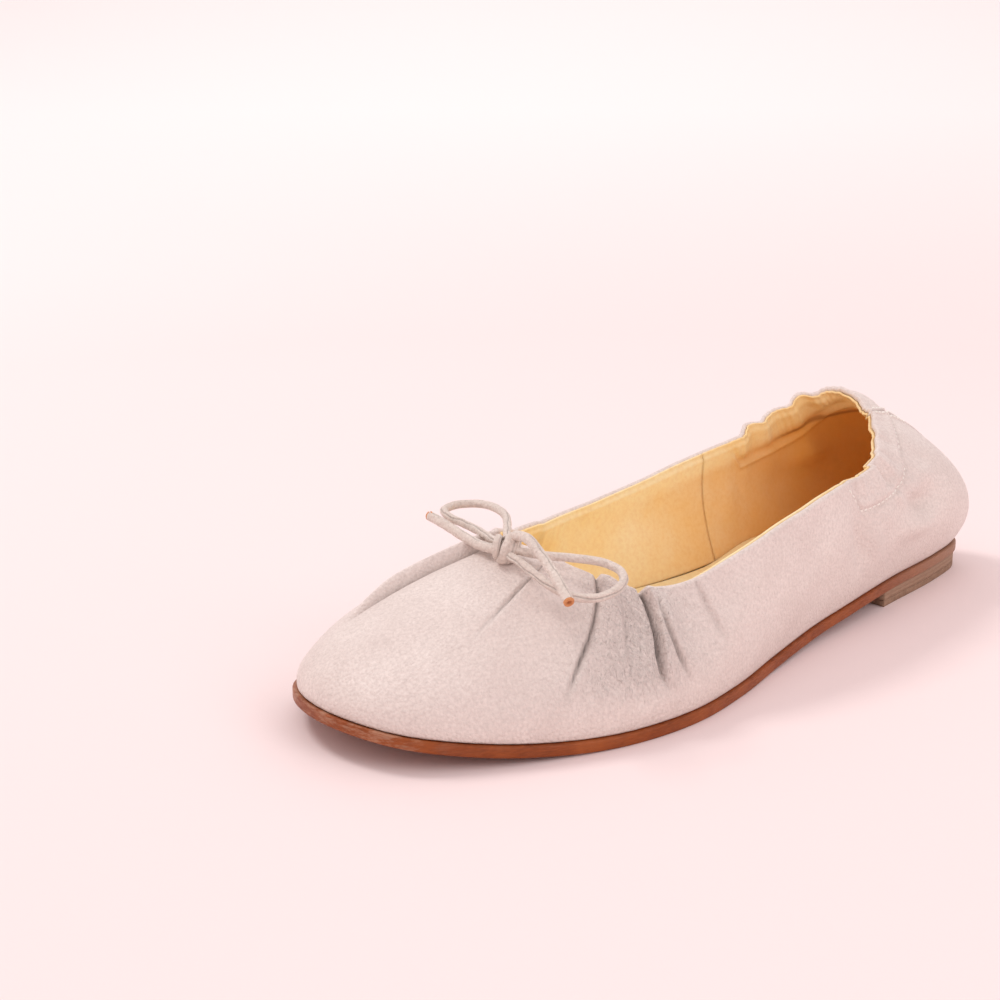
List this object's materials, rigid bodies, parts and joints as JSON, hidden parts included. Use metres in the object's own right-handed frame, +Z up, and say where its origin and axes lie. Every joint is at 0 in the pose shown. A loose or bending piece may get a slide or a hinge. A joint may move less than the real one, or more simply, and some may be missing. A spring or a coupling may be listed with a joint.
{
  "type": "ballet slipper",
  "caption": "Flat ballet slipper with a gathered soft leather upper, elastic heel, small tied bow, thin leather sole and low heel; the forefoot bends at the ball.",
  "frame": {"origin": "middle of the shoe's footprint, on the ground", "axes": "+Z up, -Y towards the toe, +X towards the outer (little toe) side"},
  "size_m": [0.0854, 0.2478, 0.059],
  "materials": {
    "upper_leather": "soft matte nappa, fine grain",
    "bow_leather": "rolled nappa cord, raw ends",
    "lining_leather": "unfinished pigskin",
    "sole_leather": "burnished edge",
    "heel_leather": "stacked leather, sanded edge",
    "heel_rubber": "fine ribbed rubber",
    "steel": "plain",
    "board": "pressed cellulose board",
    "cork": "cork and latex sheet",
    "foam": "latex foam",
    "elastic": "woven elastic and tape",
    "stiffener": "resin-set nonwoven"
  },
  "bodies": {
    "forefoot": {"outsole_forepart": "sole_leather", "insole_board_forepart": "board", "bottom_filler": "cork", "sock_lining_forepart": "lining_leather", "upper_forepart": "upper_leather", "vamp_lining": "lining_leather", "toe_puff": "stiffener", "topline_tape_throat": "elastic", "bow_knot": "bow_leather", "bow_loop_outer_side": "bow_leather", "bow_loop_inner_side": "bow_leather", "bow_tail_outer_side": "bow_leather", "bow_tail_inner_side": "bow_leather"},
    "rearfoot": {"outsole_rearpart": "sole_leather", "heel_lift": "heel_leather", "heel_top_piece": "heel_rubber", "heel_nail_1": "steel", "heel_nail_2": "steel", "heel_nail_3": "steel", "heel_nail_4": "steel", "heel_nail_5": "steel", "insole_board_rearpart": "board", "shank": "steel", "shank_rivet_rear": "steel", "shank_rivet_front": "steel", "heel_cushion": "foam", "sock_lining_rearpart": "lining_leather", "upper_rear_outer_side": "upper_leather", "upper_rear_inner_side": "upper_leather", "quarter_lining_outer_side": "lining_leather", "quarter_lining_inner_side": "lining_leather", "heel_counter": "stiffener", "heel_elastic": "elastic", "topline_tape_outer_side": "elastic", "topline_tape_inner_side": "elastic"}
  },
  "joints": [
    {"name": "ball_flex", "type": "hinge", "parent": "forefoot", "child": "rearfoot", "pos_m": [0, -0.0313, 0.003], "axis": [1, 0, 0], "range_deg": [0, 45], "stiffness_Nm_per_rad": 1.2, "deforming": ["outsole_forepart", "outsole_rearpart", "insole_board_forepart", "insole_board_rearpart", "sock_lining_forepart", "sock_lining_rearpart", "upper_forepart", "upper_rear_outer_side", "upper_rear_inner_side", "vamp_lining", "quarter_lining_outer_side", "quarter_lining_inner_side", "topline_tape_throat", "topline_tape_outer_side", "topline_tape_inner_side"]}
  ]
}
